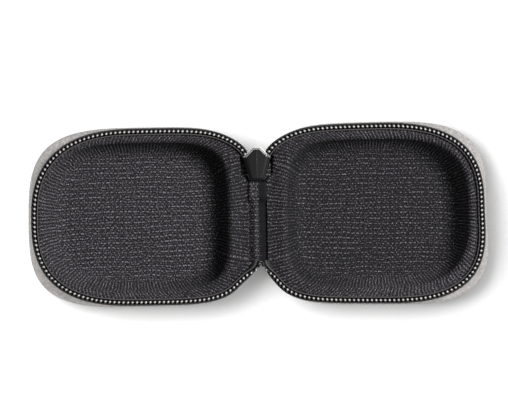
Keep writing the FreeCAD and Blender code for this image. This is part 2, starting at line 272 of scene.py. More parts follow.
def slider_half_width(y):
    """Half the slider's width: a pointed nose, then a taper from its shoulders to its tail."""
    shoulder = SLIDER_NOSE - SLIDER_POINT
    nose = (SLIDER_NOSE - y) / (SLIDER_NOSE - shoulder) * SLIDER_SHOULDER_HALF
    tail = SLIDER_TAIL_HALF + (SLIDER_SHOULDER_HALF - SLIDER_TAIL_HALF) * (
        (y - SLIDER_TAIL) / (shoulder - SLIDER_TAIL))
    return np.where(y > shoulder, nose, tail)


def slider_room(y):
    """Radius round the fold that the slider sweeps, and how far its side stands beyond the fold."""
    beyond = slider_half_width(y) - FOLD_X
    room = np.hypot(beyond, SLIDER_TOP - SEAM_Z) + LINING_CLEARANCE
    return room * smooth(-0.6, 0.0, beyond), beyond


def level_beside_slider(points):
    """Moves the lining's edge aside and down, out of the slider's way, open and folded."""
    room, beyond = slider_room(points[..., 1])
    across, rise = points[..., 0] - FOLD_X, points[..., 2] - SEAM_Z
    highest = np.where(beyond < 0, -beyond, np.minimum(1.5 * beyond, 0.6)) - 0.1
    rise = np.minimum(rise, highest + 10 * smooth(2.4, 5.0, across))
    moved = points.copy()
    moved[..., 0] = FOLD_X + np.maximum(across, np.sqrt(np.maximum(room ** 2 - rise ** 2, 0)))
    moved[..., 2] = SEAM_Z + rise
    return moved


def clear_of_slider(points):
    """Moves the shell out of the round space that the slider sweeps as the spine folds."""
    beyond = slider_half_width(points[..., 1]) - FOLD_X
    room = np.hypot(beyond, SLIDER_TOP - SEAM_Z) + SHELL_CLEARANCE
    room = room * smooth(-1.2, 0.0, beyond)
    across, rise = points[..., 0] - FOLD_X, points[..., 2] - SEAM_Z
    across = np.where(room > 0.5, np.maximum(across, 0.2), across)
    distance = np.maximum(np.hypot(across, rise), 0.01)
    push = np.maximum(room / distance, 1.0)
    moved = points.copy()
    moved[..., 0] = FOLD_X + across * push
    moved[..., 2] = SEAM_Z + rise * push
    return moved


# Meshes


def new_object(name, data):
    """An object of its own for a mesh, a lamp or a camera."""
    made = bpy.data.objects.new(name, data)
    bpy.context.scene.collection.objects.link(made)
    return made


def closed_mesh(name, sections, uvs=None, attributes=None, mirrored=False, turn=1):
    """A closed surface through a list of closed outlines, capped at both ends.

    Outlines that run the other way round are turned with -1.
    """
    sections = sections[:, ::turn]
    rows, columns = sections.shape[:2]
    poles = np.stack([sections[0].mean(0), sections[-1].mean(0)])
    points = np.concatenate([sections.reshape(-1, 3), poles]) * MM
    if mirrored:
        points = points * (-1, 1, 1)
    row, column = np.meshgrid(np.arange(rows - 1), np.arange(columns), indexing="ij")
    following = (column + 1) % columns
    quads = stacked(row * columns + column, row * columns + following,
                    (row + 1) * columns + following, (row + 1) * columns + column)
    along = np.arange(columns)
    after = (along + 1) % columns
    last = (rows - 1) * columns
    first_cap = stacked(rows * columns, after, along)
    last_cap = stacked(rows * columns + 1, last + along, last + after)
    faces = quads.reshape(-1, 4).tolist() + first_cap.tolist() + last_cap.tolist()
    mesh = bpy.data.meshes.new(name)
    mesh.from_pydata(points.tolist(), [], faces)
    for layer_name, values in (uvs or {}).items():
        add_uv(mesh, layer_name, values[:, ::turn])
    for attribute_name, values in (attributes or {}).items():
        ends = [values[0].mean(), values[-1].mean()]
        layer = mesh.attributes.new(attribute_name, "FLOAT", "POINT")
        values = np.append(values[:, ::turn].ravel(), ends)
        layer.data.foreach_set("value", values.astype(np.float32))
    mesh.polygons.foreach_set("use_smooth", [True] * len(mesh.polygons))
    if mirrored:
        mesh.flip_normals()
    mesh.update()
    return new_object(name, mesh)


def add_uv(mesh, name, values):
    """Lays coordinates of rows by columns + 1 on a closed mesh, corner by corner."""
    near, far = values[:-1], values[1:]
    quads = np.stack([near[:, :-1], near[:, 1:], far[:, 1:], far[:, :-1]], 2)
    first, last = values[0], values[-1]
    first_cap = np.stack([(first[:-1] + first[1:]) / 2, first[1:], first[:-1]], 1)
    last_cap = np.stack([(last[:-1] + last[1:]) / 2, last[:-1], last[1:]], 1)
    corners = [part.reshape(-1, 2) for part in (quads, first_cap, last_cap)]
    layer = mesh.uv_layers.new(name=name)
    layer.data.foreach_set("uv", np.concatenate(corners).ravel().astype(np.float32))


def travelled(points):
    """Distance along a line of points, or along each column of a grid, from its first row."""
    steps = np.linalg.norm(np.diff(points, axis=0), axis=-1)
    return np.concatenate([np.zeros_like(steps[:1]), np.cumsum(steps, axis=0)])


def read_along(where, travel, values):
    """Values given along a line, read at other distances."""
    return np.stack([np.interp(where, travel, values[:, k]) for k in range(3)], -1)


def wrapped(values):
    """The same rows with their first column repeated at the end."""
    return np.concatenate([values, values[:, :1]], axis=1)


def unrolled(sections, centre_x):
    """Cloth coordinates of a bowl, as if it were pressed from a flat sheet."""
    travel = travelled(sections)
    flat = sections[..., :2] - (centre_x, 0)
    start = np.linalg.norm(flat[0], axis=-1)
    return wrapped(unit(flat + 1e-9) * (travel + start)[..., None])


def round_rim(sections):
    """Cloth coordinates that run round the widest outline and across it, in whole streaks."""
    widest = np.argmax(np.ptp(sections[..., 0], axis=1))
    along = travelled(wrapped(sections[..., :2])[widest])
    along = along / along[-1] * round(along[-1] / KNIT_STREAK) * KNIT_STREAK
    across = wrapped(travelled(sections)[..., None])[..., 0]
    return stacked(along, across)


def normals_of(sections):
    """Outward normals of a grid of points that is closed along its rows."""
    along = np.roll(sections, -1, axis=1) - np.roll(sections, 1, axis=1)
    across = np.gradient(sections, axis=0)
    return unit(np.cross(along, across) + 1e-12)


def tube(centres, side, width, height, corners=8):
    """Outlines of a strand: width along the side direction, height across it."""
    ahead = unit(np.gradient(centres, axis=0))
    first = unit(side - (side * ahead).sum(-1, keepdims=True) * ahead)
    second = np.cross(ahead, first)
    turn = full_turn(corners)
    width = np.broadcast_to(width, centres.shape[:1])[:, None, None]
    height = np.broadcast_to(height, centres.shape[:1])[:, None, None]
    around = (first[:, None] * np.cos(turn)[None, :, None] * width
              + second[:, None] * np.sin(turn)[None, :, None] * height)
    return centres[:, None] + around


def joined(name, parts):
    """Several pieces of one kind as one object."""
    bpy.ops.object.select_all(action="DESELECT")
    for part in parts:
        part.select_set(True)
    bpy.context.view_layer.objects.active = parts[0]
    bpy.ops.object.join()
    parts[0].name = name
    parts[0].data.name = name
    return parts[0]


def slab(upper, lower):
    """Outlines that run along an upper face and back along a lower one."""
    return np.concatenate([upper, lower[:, ::-1]], 1)


def evenly_pale(sections, paleness=0.0):
    return {"edge": np.full(sections.shape[:2], paleness)}


def stand_for(piece, node, material):
    """Gives a piece its material and lets it stand for a CAD node."""
    piece.data.materials.append(material)
    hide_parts(node)


def settle(piece, body, node, material):
    """Lets a piece stand for a CAD node and ride a body."""
    stand_for(piece, node, material)
    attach(piece, body)


# Materials


def new_node(material, kind, **settings):
    """A shader node with some of its settings changed."""
    node = material.node_tree.nodes.new("ShaderNode" + kind)
    for setting, value in settings.items():
        setattr(node, setting, value)
    return node


def result_of(material, kind, values, **settings):
    """What a shader node makes of some values."""
    node = new_node(material, kind, **settings)
    for slot, value in zip(node.inputs, values):
        plug(slot, value)
    return Field(material, node.outputs[0])


class Field:
    """A value flowing through a material, with ordinary arithmetic."""

    def __init__(self, material, socket):
        self.material = material
        self.socket = socket

    def math(self, operation, *others):
        return result_of(self.material, "Math", (self,) + others, operation=operation)

    def __add__(self, other):
        return self.math("ADD", other)

    def __sub__(self, other):
        return self.math("SUBTRACT", other)

    def __mul__(self, other):
        return self.math("MULTIPLY", other)

    def floor(self):
        return self.math("FLOOR")

    def wave(self, pitch, phase=0.0):
        """0 to 1 and back once every pitch."""
        turned = (self * (2 * math.pi / pitch) + phase).math("COSINE")
        return turned * 0.5 + 0.5

    def step(self, low, high):
        """0 at low, 1 at high, and a smooth step between."""
        return result_of(self.material, "MapRange", (self, low, high, 0.0, 1.0),
                         interpolation_type="SMOOTHSTEP")

    def between(self, other, share):
        """This value where share is 0, the other where it is 1."""
        return self * (share * -1 + 1) + other * share


def plug(slot, value):
    if isinstance(value, Field):
        value.material.node_tree.links.new(value.socket, slot)
    else:
        slot.default_value = value


def new_material(name):
    material = bpy.data.materials.new(name)
    material.use_nodes = True
    return material


def shader_of(material):
    return material.node_tree.nodes["Principled BSDF"]


def cloth_uv(material, name):
    """The two coordinates of a UV map, in millimetres."""
    node = new_node(material, "UVMap", uv_map=name)
    split = new_node(material, "SeparateXYZ")
    material.node_tree.links.new(node.outputs[0], split.inputs[0])
    return Field(material, split.outputs[0]), Field(material, split.outputs[1])


def painted(material, name):
    """A value stored on the mesh."""
    node = new_node(material, "Attribute", attribute_name=name)
    return Field(material, node.outputs["Fac"])


def noise_at(place, lumps, detail):
    """Smooth noise at a place, with so many lumps to its unit."""
    node = new_node(place.material, "TexNoise")
    for slot, value in (("Vector", place), ("Scale", lumps), ("Detail", detail)):
        plug(node.inputs[slot], value)
    return Field(place.material, node.outputs[0])


def noise(u, v, w=0.0, detail=2.0):
    """Smooth noise of about one lump per unit."""
    return noise_at(result_of(u.material, "CombineXYZ", (u, v, w)), 1.0, detail)


def noise_in_space(material, lumps_per_mm, detail):
    """Smooth noise over the points of the piece itself."""
    place = new_node(material, "TexCoord").outputs["Object"]
    return noise_at(Field(material, place), lumps_per_mm / MM, detail)


def colours(share, dark, light):
    """A colour between two, by a share from 0 to 1."""
    node = new_node(share.material, "Mix", data_type="RGBA")
    plug(node.inputs[0], share)
    node.inputs[6].default_value = (*dark, 1)
    node.inputs[7].default_value = (*light, 1)
    return Field(share.material, node.outputs[2])


def coat(share, dark, light, roughness, specular=0.5):
    """The shader's colour between two by a share, its roughness and its specular level."""
    inputs = shader_of(share.material).inputs
    plug(inputs["Base Color"], colours(share, dark, light))
    plug(inputs["Roughness"], roughness)
    plug(inputs["Specular IOR Level"], specular)


def bumped(height, distance_mm):
    """Feeds a height pattern to the shader's normal."""
    node = new_node(height.material, "Bump")
    for slot, value in (("Strength", 1.0), ("Distance", distance_mm * MM), ("Height", height)):
        plug(node.inputs[slot], value)
    plug(shader_of(height.material).inputs["Normal"], Field(height.material, node.outputs[0]))


KNIT_ROW = 0.935        # two rows to a rib
KNIT_STITCH = 1.66
KNIT_STREAK = 1.42
ROW_RELIEF = 0.07
STREAK_RELIEF = 0.06


def knit_rows(u, v):
    """Bright dashes in rows along u, a strong row and then a weak one, offset by half a stitch."""
    across = v + noise(u * 0.05, v * 0.05) * 3.0 + noise(u * 0.5, v * 0.5) * 0.6
    uneven = u + noise(u * 0.9, v * 0.5, 2.0) * 3.0
    total = 0.0
    for phase, strength in ((0.0, 1.0), (math.pi, 0.6)):
        line = across.wave(2 * KNIT_ROW, phase).math("POWER", 2.5)
        stitch = (uneven + phase * KNIT_STITCH / (2 * math.pi)).wave(KNIT_STITCH)
        total = line * (stitch * 0.6 + 0.28) * strength + total
    return total


def knit_material():
    """Black ribbed knit: rows of stitches on the floor, stretched streaks on the walls."""
    material = new_material("ribbed_knit")
    u, v = cloth_uv(material, "cloth")
    along, across = cloth_uv(material, "rim")
    floor_share = painted(material, "floor_share")
    lean = noise(u * 0.22, v * 0.22, 4.0) * 1.2 + noise(u * 0.9, v * 0.9, 6.0) * 0.9
    streak = (along + lean).wave(KNIT_STREAK).math("POWER", 1.6)
    stitch = (across + noise(u * 0.9, v * 0.9, 8.0) * 3.0).wave(KNIT_STITCH * 0.6)
    patchy = noise(u * 0.8, v * 0.8, 9.0) * 1.5 + 0.1
    walls = streak * (stitch * 0.5 + 0.35) * patchy
    pattern = walls.between(knit_rows(u, v), floor_share)
    fibres = noise(u * 2.0, v * 2.0, 7.0, 3.0)
    glint = noise(u * 4.0, v * 4.0, 11.0, 3.0)
    # The pale end of this colour is painted highlight on the knit's raised loops, fibres and glints
    # over its rib pattern; the mesh's painted shade values darken it.
    shine = pattern * 0.7 + fibres * 1.8 + glint * 1.5 - painted(material, "painted_shade") * 0.16
    coat((shine - 1.85).step(-0.15, 0.62), (0.0055, 0.005, 0.006), (0.24, 0.221, 0.247),
         0.85, 0.2)
    shader_of(material).inputs["Sheen Weight"].default_value = 0.03
    shader_of(material).inputs["Sheen Roughness"].default_value = 0.4
    bumped(pattern + fibres * 0.6, 0.35)
    return material


def heather_material():
    """Grey melange cloth in a plain weave."""
    material = new_material("heather_cloth")
    u, v = cloth_uv(material, "cloth")
    pitch = 0.42
    warp_index = (u * (1 / pitch)).floor()
    weft_index = (v * (1 / pitch)).floor()
    over = ((warp_index + weft_index) * 0.5).math("FRACT").step(0.24, 0.26)
    warp_tone = noise(warp_index * 3.7, v * 0.45, 1.0)
    weft_tone = noise(u * 0.45, weft_index * 3.7, 5.0)
    tone = warp_tone.between(weft_tone, over)
    crown_u, crown_v = u.wave(pitch, math.pi), v.wave(pitch, math.pi)
    height = (crown_u.between(crown_v, over)) * 0.8 + crown_u * crown_v * 0.4
    fibres = noise(u * 4.0, v * 4.0, 9.0, 3.0)
    # The weave's raised crowns are painted paler from their height: a painted highlight over the
    # melange's own tones.
    mixed = (tone * 1.5 + fibres * 0.5 + height * 0.25).step(0.7, 1.65)
    coat(mixed, (0.20, 0.19, 0.182), (0.55, 0.53, 0.515), 0.9, 0.2)
    shader_of(material).inputs["Sheen Weight"].default_value = 0.15
    bumped(height + fibres * 0.4, 0.12)
    return material


def tape_material():
    """Black woven zip tape, paler along its upper edge."""
    material = new_material("woven_tape")
    u, v = cloth_uv(material, "cloth")
    ribs = u.wave(0.5) * 0.6 + v.wave(0.33) * 0.4
    edge_paleness = painted(material, "edge") * (u.wave(0.83) * 0.6 + 0.4)
    tone = (edge_paleness + noise(u * 2, v * 2) * 0.3).step(0.1, 1.0)
    coat(tone, (0.012, 0.0115, 0.0125), (0.085, 0.08, 0.08), 0.75)
    bumped(ribs, 0.12)
    return material


def nylon_material():
    """Glossy black nylon monofilament, with a painted highlight on the heads of its loops."""
    material = new_material("coil_nylon")
    mottle = noise_in_space(material, 1.4, 3.0)
    # The paler heads are a painted highlight on top of each loop.
    head = (painted(material, "edge") + mottle * 0.5 - 0.25).step(0.25, 0.8)
    coat(head, (0.006, 0.0057, 0.006), (0.5, 0.485, 0.47), mottle * 0.25 + 0.2, 0.65)
    bumped(mottle, 0.03)
    return material


def thread_material():
    """Two-ply black sewing thread."""
    material = new_material("sewing_thread")
    u, v = cloth_uv(material, "cloth")
    ply = (u * 1.0 + v * 0.6).wave(0.55)
    # The ply ridges are painted paler: a painted highlight on the twist.
    coat(ply, (0.012, 0.0115, 0.0125), (0.055, 0.052, 0.056), 0.6)
    bumped(ply, 0.1)
    return material


def metal_material():
    """Black-plated die casting, with painted highlights along its edges."""
    material = new_material("plated_metal")
    edge_paleness = painted(material, "edge")
    grain = noise_in_space(material, 2.2, 4.0)
    # The paler, more metallic edges are painted highlights.
    painted_highlight = (edge_paleness + grain * 0.35 - 0.2).step(0.3, 0.9)
    coat(painted_highlight, (0.0065, 0.006, 0.006), (0.82, 0.81, 0.79),
         grain * 0.15 + 0.45 - painted_highlight * 0.15, 0.15)
    plug(shader_of(material).inputs["Metallic"], painted_highlight * 0.35)
    bumped(grain, 0.015)
    return material


def foam_material():
    """Dark closed-cell foam."""
    material = new_material("eva_foam")
    cells = noise_in_space(material, 2.5, 4.0)
    coat(cells, (0.02, 0.02, 0.022), (0.05, 0.05, 0.053), 0.9)
    bumped(cells, 0.08)
    return material


def floor_material():
    """Smooth white paper."""
    material = new_material("studio_paper")
    fibre = noise_in_space(material, 0.6, 3.0)
    coat(fibre, (0.80, 0.80, 0.80), (0.84, 0.84, 0.84), 0.95, 0.1)
    return material


# The two halves


class Half:
    """One half of the case: its body, its side of the fold, and its own small differences."""

    def __init__(self, body, mirrored, row_reach, phase, painted_shade_weight, splay):
        self.body = body
        self.painted_shade_weight = painted_shade_weight          # how much painted shade darkens its knit
        self.splay = splay              # where its rim stands a little further out
        self.mirrored = mirrored
        self.side = -1 if mirrored else 1
        self.row_reach = row_reach      # how far its row of coils leans in at the spine's low end
        self.phase = phase              # where along the row its first loop stands

    def name(self, part):
        return self.body + "_" + part

    def mesh(self, name, sections, uvs=None, attributes=None, turn=1):
        """A closed mesh on this half's side of the case."""
        return closed_mesh(self.name(name), sections, uvs, attributes, self.mirrored, turn)

    def bend(self, piece, node, material, slot):
        """Gives a piece its material, lets it stand for a CAD node, and bakes its place into its
        mesh.
        """
        stand_for(piece, node, material)
        on_half = (self.side * (FOLD_X + BEND_REACH) * MM, 0, SEAM_Z * MM)
        on_spine = (self.side * (FOLD_X - BEND_REACH) * MM, 0, SEAM_Z * MM)
        if self.mirrored:
            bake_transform(piece)
        else:
            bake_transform(piece)


def outer_skin(half, material):
    """The cloth shell: flat back, rounded sides, a rolled edge and its inside face."""
    angle = full_turn(400)
    back = shell(angle, SEAM_Z, 0)
    middle = np.array([RIM_X, 0, 0])
    rows = [middle + (back - middle) * share for share in np.linspace(0.06, 0.96, 16)]
    for turn in np.linspace(1, 0.03, 26):
        rounded = math.sin(turn * math.pi / 2)
        rows.append(shell(angle, BULGE_DEPTH + rounded * (SEAM_Z - BULGE_DEPTH), 0))
    rows += [shell(angle, below, 0) for below in np.linspace(BULGE_DEPTH, 0.5, 12)]
    for turn in np.linspace(0.15, 0.85, 5) * math.pi:
        edge = shell(angle, 0.5, SKIN * (1 - math.cos(turn)) / 2)
        edge[:, 2] = SEAM_Z - 0.5 + 0.5 * math.sin(turn)
        rows.append(edge)
    rows += [shell(angle, below, SKIN) for below in np.linspace(0.5, SEAM_Z, 22)]
    inside = rows[-1]
    centre = np.array([RIM_X, 0, SKIN])
    rows += [centre + (inside - centre) * share for share in (0.6, 0.1)]
    sections = np.stack(rows)
    drop = HINGE_DROP * beside_spine(sections) * (sections[..., 0] < FOLD_X + 4)
    sections[..., 2] -= drop * smooth(SEAM_Z - 4, SEAM_Z - 1, sections[..., 2])
    sections = clear_of_slider(splayed(sections, half, SKIN_DRAWN))
    piece = half.mesh("cloth_shell", sections, {"cloth": unrolled(sections, RIM_X)}, turn=-1)
    settle(piece, half.body, half.name("outer_skin"), material)


def flange_height(points):
    """The flange's height: low beside the spine, and level with the lip away from it."""
    ramp = smooth(FLANGE_RAMP[0], FLANGE_RAMP[1], points[..., 0])
    return FLANGE_LOW_Z + (LINING_TOP - FLANGE_LOW_Z) * ramp


def knit_relief(sections, floor_share):
    """Height of the ribs: along X on the floor, across the rim on the walls."""
    x, y = sections[..., 0], sections[..., 1]
    wander = 0.25 * np.sin(x * 0.31 + 1.3 * np.sin(y * 0.17)) + 0.15 * np.sin(x * 0.83 + y * 0.4)
    rows = np.cos(2 * math.pi * (y + wander) / (2 * KNIT_ROW))
    along = round_rim(sections)[:, :-1, 0]
    lean = 0.6 * np.sin(along * 0.21) + 0.3 * np.sin(along * 0.77 + 1.0)
    streaks = np.cos(2 * math.pi * (along + lean) / KNIT_STREAK)
    return ROW_RELIEF * rows * floor_share + STREAK_RELIEF * streaks * (1 - floor_share)


def recess_rows(angle, lip_round):
    """Outlines of the knit's floor, and of its wall up to where the lip begins."""
    floor = recess(angle, 0.0, 0)
    middle = np.array([RECESS_X, 0, RECESS_FLOOR])
    rows = [middle + (floor - middle) * share for share in np.linspace(0.01, 0.985, 72)]
    for turn in np.linspace(0, 1, 40):
        fall = math.cos(turn * math.pi / 2) ** (2 / RECESS_PROFILE)
        wall = recess(angle, 1 - fall, 0)
        if (wall[:, 2:] < LINING_TOP - lip_round * 0.8).all():
            rows.append(wall)
    return rows


def lining_rows():
    """Outlines of the knit: floor, wall, rounded lip, flange and underside.

    With them come the number of outlines on the upper face, and how far each one follows
    the rim where it stands out.
    """
    angle = full_turn(560)
    lip = recess(angle, 1.0, 0)
    straight = beside_spine(rim(angle, 0, SEAM_Z))[:, None]
    edge = rim(angle, EDGE_INSET + SKIN + TAPE, LINING_TOP) * (1 - straight)
    edge = edge + rim(angle, EDGE_INSET - 0.6, LINING_TOP) * straight
    flange = np.linalg.norm(edge[:, :2] - lip[:, :2], axis=-1)[:, None]
    lip_round = np.minimum(LIP_ROUND, LIP_SHARE * flange)
    rows = recess_rows(angle, lip_round)
    spread = [0.0] * len(rows)
    for turn in np.linspace(0, 90, 10):
        out = lip_round * (1 - math.cos(math.radians(turn)))
        ring = lip + (edge - lip) * out / flange
        ring[:, 2] = flange_height(ring) - lip_round[:, 0] * (1 - math.sin(math.radians(turn)))
        rows.append(ring)
        spread.append(LIP_SPREAD * turn / 90)
    for share in np.linspace(0.12, 1, 14):
        ring = lip + (edge - lip) * (lip_round + (flange - lip_round) * share) / flange
        ring[:, 2] = flange_height(ring)
        rows.append(ring)
        spread.append(LIP_SPREAD + (1 - LIP_SPREAD) * share)
    tucked = rows[-1] + (edge - lip) / flange * LINING_TUCK
    tucked[:, 2] -= 0.35 + 0.5 * straight[:, 0]
    rows.append(tucked)
    upper_rows = len(rows)
    for row in (rows[-2], lip):
        under = row.copy()
        under[:, 2] = flange_height(under) - LINING
        rows.append(under)
    rows += [recess(angle, rise, LINING) for rise in (0.8, 0.5, 0.25, 0.1, 0.03, 0.0)]
    low = np.array([RECESS_X, 0, RECESS_FLOOR - LINING])
    rows += [low + (rows[-1] - low) * share for share in (0.7, 0.4, 0.1)]
    spread += [1.0, 1.0] + [0.0] * (len(rows) - len(spread) - 2)
    return np.stack(rows), upper_rows, np.array(spread)[:, None, None]


def lining(half, material):
    """The knit, with its ribs, and its painted shade: most on the walls beside the hinge, and over
    the floor by the half's own weight.
    """
    sections, upper_rows, spread = lining_rows()
    floor_share = 1 - smooth(RECESS_FLOOR + 0.15, RECESS_FLOOR + 2.6, sections[..., 2])
    # Painted shade: darkest on the walls beside the hinge, with each half's floor darkened by its
    # own weight.
    hinge_side = 1 - smooth(FLANGE_RAMP[1], RECESS_X, sections[..., 0])
    below_lip = smooth(LINING_TOP - 1, LINING_TOP - 4, sections[..., 2])
    on_walls = 0.1 + hinge_side * (0.6 + 0.65 * half.painted_shade_weight * below_lip)
    painted_shade = half.painted_shade_weight * floor_share + on_walls * (1 - floor_share)
    relief = knit_relief(sections, floor_share)
    relief[upper_rows - 1:] = 0
    sections = sections - normals_of(sections) * relief[..., None]
    sections += (splayed(sections, half) - sections) * spread
    sections[..., 0] = np.maximum(sections[..., 0], FOLD_X - LINING_PAST_FOLD)
    sections = level_beside_slider(sections)
    piece = half.mesh("knit_lining", sections,
                      {"cloth": unrolled(sections, RECESS_X), "rim": round_rim(sections)},
                      {"floor_share": floor_share, "painted_shade": painted_shade}, -1)
    settle(piece, half.body, half.name("lining"), material)


# The zip's rows


class Row:
    """The line that a row of coils follows: a point on the tape, its up and its outward."""

    def __init__(self, half):
        angle = np.linspace(math.pi, -math.pi, 6000)
        line = splayed(rim(angle, EDGE_INSET + SKIN, SEAM_Z), half)
        kept = (line[:, 0] > RIM_X) | (line[:, 1] > ROW_TOP_Y) | (line[:, 1] < ROW_LOW_Y)
        angle, line = angle[kept], line[kept]
        self.travel = travelled(line)
        self.length = self.travel[-1]
        self.angle = angle
        ahead = unit(np.gradient(line, axis=0))
        outward = np.cross(UP, ahead)
        into_slider = 1 - smooth(0.6, ROW_DIVE, self.travel)
        at_spine = smooth(self.length - ROW_TURN, self.length, self.travel)
        flat = np.maximum(into_slider, at_spine)
        lean = (into_slider * math.pi / 2 + at_spine * math.pi / 4)[:, None]
        self.up = UP * np.cos(lean) + outward * np.sin(lean)
        self.out = outward * np.cos(lean) - UP * np.sin(lean)
        self.ahead = ahead
        sunk = 0.6 * (1 - smooth(3.5, 7.0, self.travel))
        self.line = line + UP * (0.85 * flat - sunk)[:, None]

    def at(self, travel, values):
        return read_along(travel, self.travel, values)

    def points(self, travel, out, up):
        """Points at a distance along the row, outward from the tape and up from the sewn edge."""
        out = np.asarray(out)[..., None]
        up = np.asarray(up)[..., None]
        return self.at(travel, self.line) + self.at(travel, self.out) * out \
            + self.at(travel, self.up) * up


def coil_sections(loops, start, place, ahead):
    """One filament wound along a row; its heads are broad and cross the row nearly square."""
    steps = 18
    wound = np.linspace(0, loops, loops * steps + 1)
    turn = 2 * math.pi * wound
    travel = start + COIL_PITCH * (wound + 0.55 / (2 * math.pi) * np.sin(turn))
    out = COIL_CENTRE + COIL_HALF_WIDTH * signed_power(np.sin(turn), 0.8)
    up = COIL_MIDDLE - COIL_HALF_HEIGHT * signed_power(np.cos(turn), 0.85)
    head = np.maximum(-np.cos(turn), 0) ** 3
    centres = place(travel, out, up)
    rising = unit(place(travel, out, up + 1) - centres)
    sections = tube(centres, ahead(travel),
                    FILAMENT * (1 + 0.8 * head), FILAMENT * (1 - 0.1 * head))
    outer_side = np.einsum("ijk,ik->ij", sections - centres[:, None], rising) / FILAMENT
    # The second value marks the outer top of each head, for the coil's painted highlight.
    return sections, head[:, None] * np.clip(outer_side, 0, 1)


def zip_coil(half, row, material):
    loops = int((row.length - 1.0) / COIL_PITCH)
    start = 0.3 + half.phase
    sections, head = coil_sections(loops, start, row.points,
                                   lambda travel: row.at(travel, row.ahead))
    inside = np.linspace(start, start + loops * COIL_PITCH, len(head))[:, None]
    head = head * smooth(1.6, 3.4, inside)
    piece = half.mesh("coil_row", sections, None, {"edge": head})
    half.bend(piece, half.name("zip_coil"), material, "zip_coil")


def zip_cord(half, row, material):
    """The braided cord inside the coil."""
    travel = np.linspace(0.8, row.length - 0.8, 900)
    centres = row.points(travel, COIL_CENTRE, COIL_MIDDLE - 0.15)
    braid = 0.2 + 0.02 * np.cos(2 * math.pi * travel / 0.9)
    sections = tube(centres, row.at(travel, row.out), braid, braid * 2.6, 10)
    uv = stacked(travel[:, None], np.linspace(0, 2, 11))
    piece = half.mesh("filler_cord", sections, {"cloth": uv})
    half.bend(piece, half.name("zip_cord"), material, "thread")


def zip_tape(half, row, material):
    """The tape: a sewn-in skirt, an upright band behind the coil, and a scalloped woven edge."""
    travel = np.linspace(0, row.length, 1500)
    wave = 0.05 * np.cos(2 * math.pi * travel / 0.83)
    angle = np.interp(travel, row.travel, row.angle)
    outline = [(0.0, height) for height in (0.0, 0.7, 1.4, TAPE_TOP - 0.25)]
    outline += [(-0.08, TAPE_TOP + 0.02), (-0.26, TAPE_TOP + 0.1), (-TAPE, TAPE_TOP)]
    outline += [(-TAPE, height) for height in (1.4, 0.7, 0.0)]
    columns = [row.points(travel, out, up + (wave if up > 1.8 else 0.0)) for out, up in outline]
    end_share = np.maximum(1 - smooth(1.0, 6.0, travel),
                           smooth(row.length - 6.0, row.length - 1.0, travel))[:, None]
    for layer in (SKIN + TAPE, SKIN):
        foot = row.points(travel, SKIN - layer, -0.1)
        skirt = [splayed(shell(angle, below, layer), half) * (1 - end_share) + foot * end_share
                 for below in (1.0, 3.0, -TAPE_BOTTOM)]
        columns += skirt if layer > SKIN else skirt[::-1]
    sections = np.stack(columns, 1)
    uv = stacked(travel[:, None], travelled(wrapped(sections)[0]))
    edge_paleness = np.zeros(sections.shape[:2])
    edge_paleness[:, 3:7] = 1.0
    piece = half.mesh("woven_tape", sections, {"cloth": uv}, {"edge": edge_paleness}, -1)
    piece = joined(half.name("woven_tape"), [piece, zip_binding(half, row), tape_gusset(half)])
    half.bend(piece, half.name("zip_tape"), material, "zip_tape")


def zip_binding(half, row):
    """The folded edge of the tape, over the shell's rim: a ledge under the coil and a low lip."""
    travel = np.linspace(0, row.length, 900)
    outline = [(0.0, 0.25), (1.75, 0.25), (2.02, 0.45), (2.1, 0.9), (2.1, 1.5), (1.98, 1.85),
               (1.74, 2.0), (1.5, 1.85), (1.4, 1.5), (1.3, 1.1), (0.8, 0.95), (0.0, 0.95)]
    width = smooth(1.5, 4.5, travel) * (1 - 0.5 * smooth(row.length - 6, row.length, travel))
    columns = [row.points(travel, out * width, up) for out, up in outline]
    sections = np.stack(columns, 1)
    uv = stacked(travel[:, None], np.arange(len(outline) + 1) * 0.4)
    return half.mesh("tape_binding", sections, {"cloth": uv}, evenly_pale(sections), -1)


def tape_gusset(half):
    """The tape between the shell and the slider: it passes under the slider's outer plate."""
    beside, tucked_in, below_seam, thickness = 0.12, 0.9, 1.9, 0.3
    y = np.linspace(SPINE_HIGH - 0.3, SLIDER_NOSE - SLIDER_POINT - 0.1, 40)[:, None]
    under = smooth(SPINE_HIGH + 2.4, SPINE_HIGH + 4.1, y)
    inner_x = slider_half_width(y) + beside - tucked_in * under
    room = slider_room(y)[0] + 0.1
    inner_z = SEAM_Z - np.maximum(
        below_seam + 0.5 * under, np.sqrt(np.maximum(room ** 2 - (inner_x - FOLD_X) ** 2, 0)))
    outer_x, outer_z = FOLD_X + 3.3, SEAM_Z - 3.3
    share = np.linspace(0, 1, 12)
    x = inner_x + (outer_x - inner_x) * share
    z = inner_z + (outer_z - inner_z) * share ** 1.6
    upper = stacked(x, y, z)
    sections = slab(upper, upper - UP * thickness)
    uv = wrapped(sections[..., 1::-1])
    return half.mesh("tape_gusset", sections, {"cloth": uv}, evenly_pale(sections))


def crimp(name, centres, side, width, height, paleness, mirrored=False):
    """A crimped metal stop, with painted highlights near both of its ends."""
    sections = tube(centres, side, width, height, 20)
    edge = np.zeros(sections.shape[:2])
    edge[[1, 2, -3, -2]] = paleness
    return closed_mesh(name, sections, None, {"edge": edge}, mirrored)


def chain_stop(half, row, material):
    """The crimp that closes the row at the low end of the spine."""
    share = np.linspace(0, 1, 14)
    travel = row.length - STOP_START + STOP_LENGTH * share
    swell = np.sqrt(np.maximum(1 - (2 * share - 1) ** 6, 0.02))
    centres = row.points(travel, COIL_CENTRE, COIL_MIDDLE)
    piece = crimp(half.name("row_stop"), centres, row.at(travel, row.out),
                  0.7 * swell, 1.25 * swell, 0.3, half.mirrored)
    half.bend(piece, half.name("chain_stop"), material, "slider_metal")


